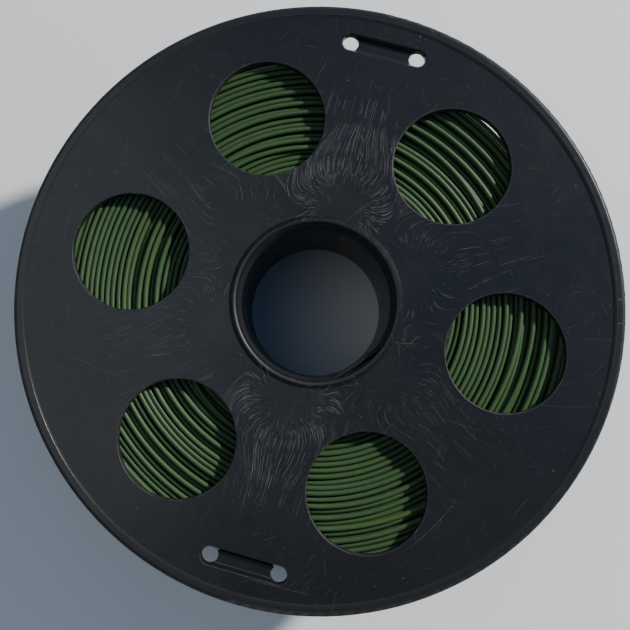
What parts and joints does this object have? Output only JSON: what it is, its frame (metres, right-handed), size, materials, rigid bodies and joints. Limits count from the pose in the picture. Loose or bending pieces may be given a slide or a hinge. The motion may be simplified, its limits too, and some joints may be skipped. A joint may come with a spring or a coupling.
{
  "type": "filament spool",
  "caption": "Round black plastic filament spool with windowed flanges, a flared bore sleeve and a winding of green 3D printing filament.",
  "frame": {"origin": "centre of the circle on which the rim of the rear flange rests, on the spool's axis", "axes": "+Z along the spool's axis, from the rear flange to the front flange; +X through the middle of one window, so that the parking grooves lie at +Y and -Y"},
  "size_m": [0.2, 0.2, 0.07],
  "materials": {
    "flange_plastic": "satin black, moulded, finely scratched",
    "hub_plastic": "satin black, moulded",
    "filament": "semi-gloss dark green, drawn"
  },
  "bodies": {
    "root": {"front_flange": "flange_plastic", "rear_flange": "flange_plastic", "winding_drum": "hub_plastic", "bore_sleeve": "hub_plastic", "filament_winding": "filament", "filament_start": "filament", "filament_end": "filament"}
  },
  "joints": []
}
